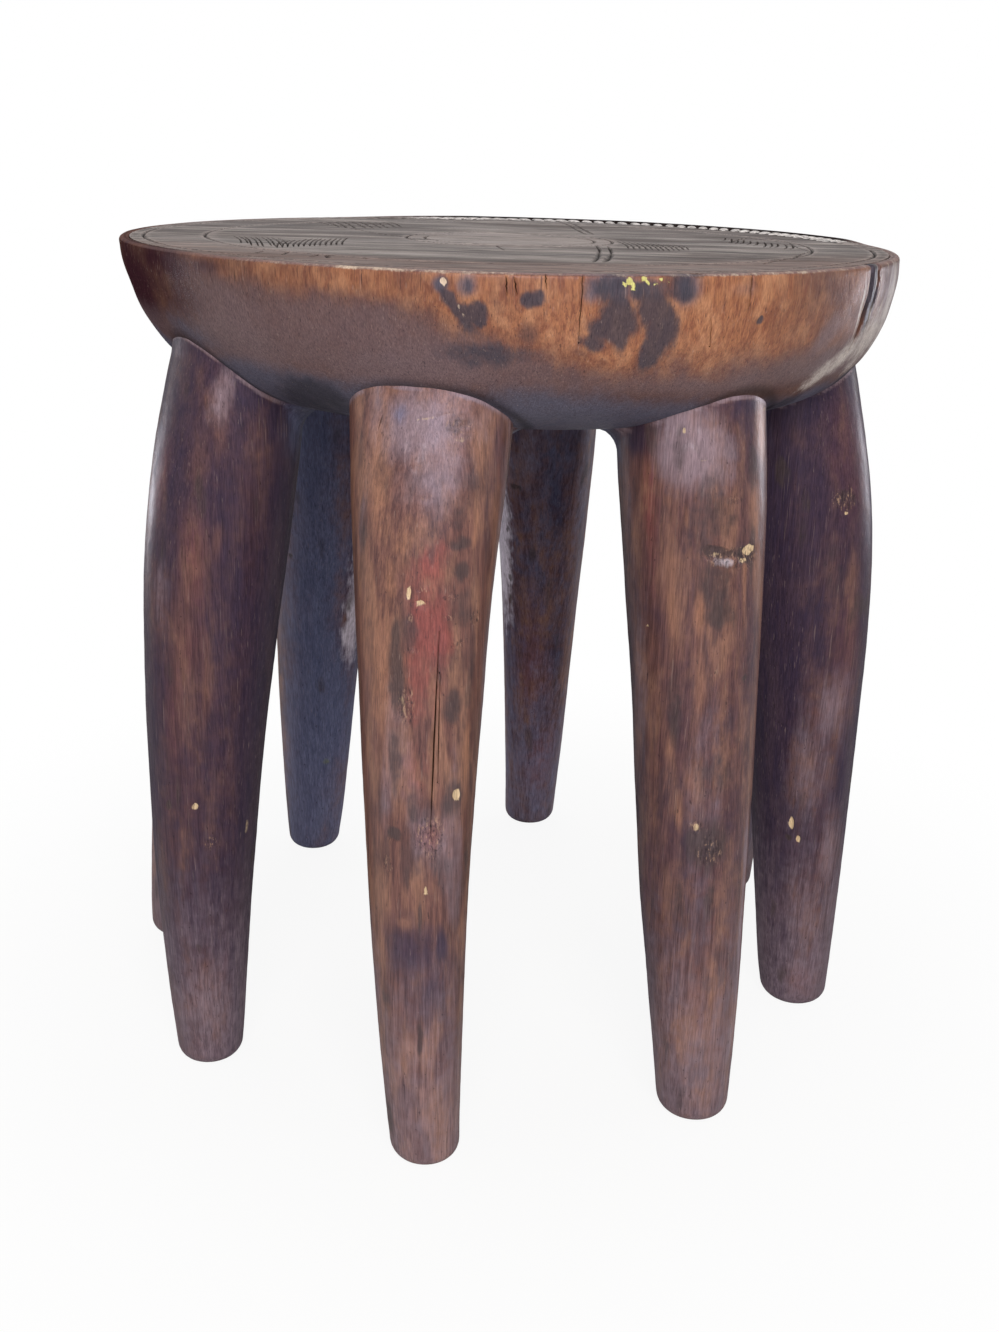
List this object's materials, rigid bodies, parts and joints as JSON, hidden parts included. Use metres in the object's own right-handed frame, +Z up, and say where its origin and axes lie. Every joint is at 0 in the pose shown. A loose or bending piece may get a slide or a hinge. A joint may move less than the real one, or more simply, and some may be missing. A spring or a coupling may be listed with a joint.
{
  "type": "carved wooden stool",
  "caption": "Round carved hardwood stool: a thick bowl-shaped seat with an incised top, on a ring of tapering, outward-bowed legs.",
  "frame": {"origin": "on the floor, under the middle of the seat's rim, at the centre of the ring of feet", "axes": "+Z up, square to the flat top; -Y to the stool's front, the side that the picture is taken from; +X to its right"},
  "size_m": [0.4672, 0.4749, 0.483],
  "materials": {
    "seat_wood": "oiled and worn dark hardwood with an orange-brown rim, satin",
    "leg_wood": "handled dark red-brown hardwood with streaks and chips, satin"
  },
  "bodies": {
    "root": {"seat": "seat_wood", "leg_front_left": "leg_wood", "leg_front": "leg_wood", "leg_front_right": "leg_wood", "leg_right": "leg_wood", "leg_back_right": "leg_wood", "leg_back": "leg_wood", "leg_back_left": "leg_wood", "leg_left": "leg_wood"}
  },
  "joints": []
}
